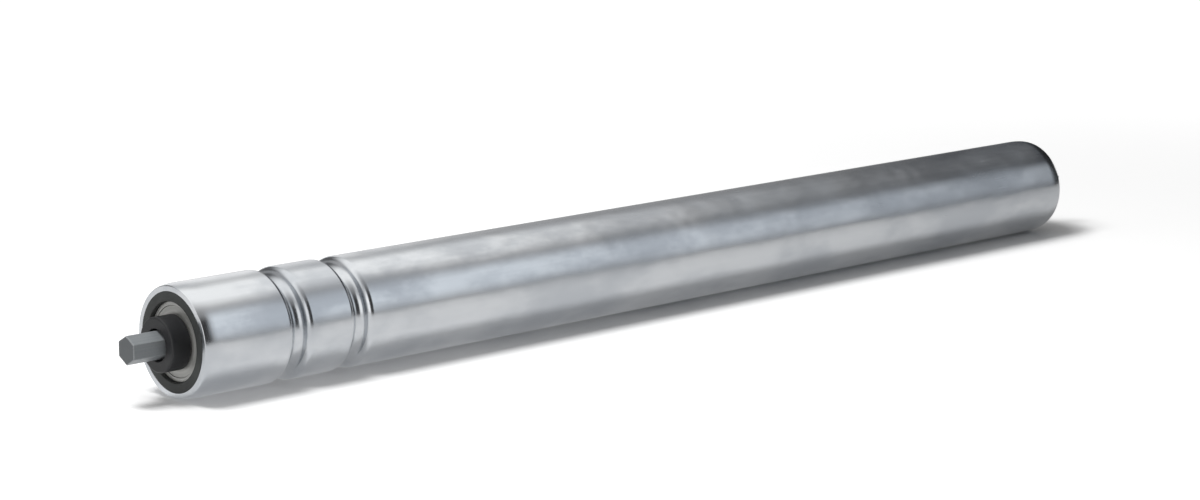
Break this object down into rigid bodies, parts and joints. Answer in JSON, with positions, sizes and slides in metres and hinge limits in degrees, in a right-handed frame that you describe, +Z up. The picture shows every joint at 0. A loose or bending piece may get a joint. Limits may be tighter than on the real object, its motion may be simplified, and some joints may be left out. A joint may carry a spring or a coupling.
{
  "type": "conveyor roller",
  "caption": "Tubular steel conveyor roller with rolled belt grooves at one end, shielded ball bearings in plastic seats and a spring-loaded hexagon shaft.",
  "frame": {"origin": "middle of the roller on its own axis, which is the centre of its box", "axes": "+X along the axis, from the grooved end to the plain end; +Z up, with two corners of the hexagon shaft at +Z and -Z; +Y level, away from the front"},
  "size_m": [0.616, 0.05, 0.05],
  "materials": {
    "zinc_steel": "bright zinc-plated steel tube",
    "shaft_steel": "dark drawn steel bar",
    "seat_plastic": "moulded dark grey plastic",
    "bush_plastic": "moulded near-black plastic",
    "bearing_steel": "ground bearing steel",
    "ball_steel": "polished bearing steel",
    "shield_steel": "pressed sheet steel",
    "cage_steel": "pressed sheet steel",
    "washer_steel": "zinc-plated steel",
    "clip_steel": "blackened spring steel",
    "spring_steel": "zinc-plated spring wire"
  },
  "bodies": {
    "shaft": {"shaft": "shaft_steel", "left_stop_washer": "washer_steel", "left_stop_clip": "clip_steel", "spring": "spring_steel", "spring_seat_washer": "washer_steel", "spring_clip": "clip_steel"},
    "bushes": {"left_bush": "bush_plastic", "left_inner_ring": "bearing_steel", "right_bush": "bush_plastic", "right_inner_ring": "bearing_steel", "right_spring_washer": "washer_steel"},
    "roller": {"tube": "zinc_steel", "left_bearing_seat": "seat_plastic", "left_outer_ring": "bearing_steel", "left_front_shield": "shield_steel", "left_rear_shield": "shield_steel", "right_bearing_seat": "seat_plastic", "right_outer_ring": "bearing_steel", "right_front_shield": "shield_steel", "right_rear_shield": "shield_steel"},
    "left_cage": {"left_balls": "ball_steel", "left_cage_front": "cage_steel", "left_cage_rear": "cage_steel", "left_cage_rivets": "cage_steel"},
    "right_cage": {"right_balls": "ball_steel", "right_cage_front": "cage_steel", "right_cage_rear": "cage_steel", "right_cage_rivets": "cage_steel"}
  },
  "joints": [
    {"name": "shaft_slide", "type": "slide", "parent": "shaft", "child": "bushes", "axis": [1, 0, 0], "range_m": [-0.015, 0], "stiffness_N_per_m": 1500, "springref_m": 0.015, "deforming": ["spring"]},
    {"name": "roller_spin", "type": "hinge", "parent": "bushes", "child": "roller", "pos_m": [0, 0, 0], "axis": [1, 0, 0], "continuous": true},
    {"name": "left_cage_spin", "type": "hinge", "parent": "bushes", "child": "left_cage", "pos_m": [-0.2775, 0, 0], "axis": [1, 0, 0], "continuous": true},
    {"name": "right_cage_spin", "type": "hinge", "parent": "bushes", "child": "right_cage", "pos_m": [0.2775, 0, 0], "axis": [1, 0, 0], "continuous": true}
  ],
  "couplings": [
    {"joint": "left_cage_spin", "follows": "roller_spin", "ratio": 0.619},
    {"joint": "right_cage_spin", "follows": "roller_spin", "ratio": 0.619}
  ]
}
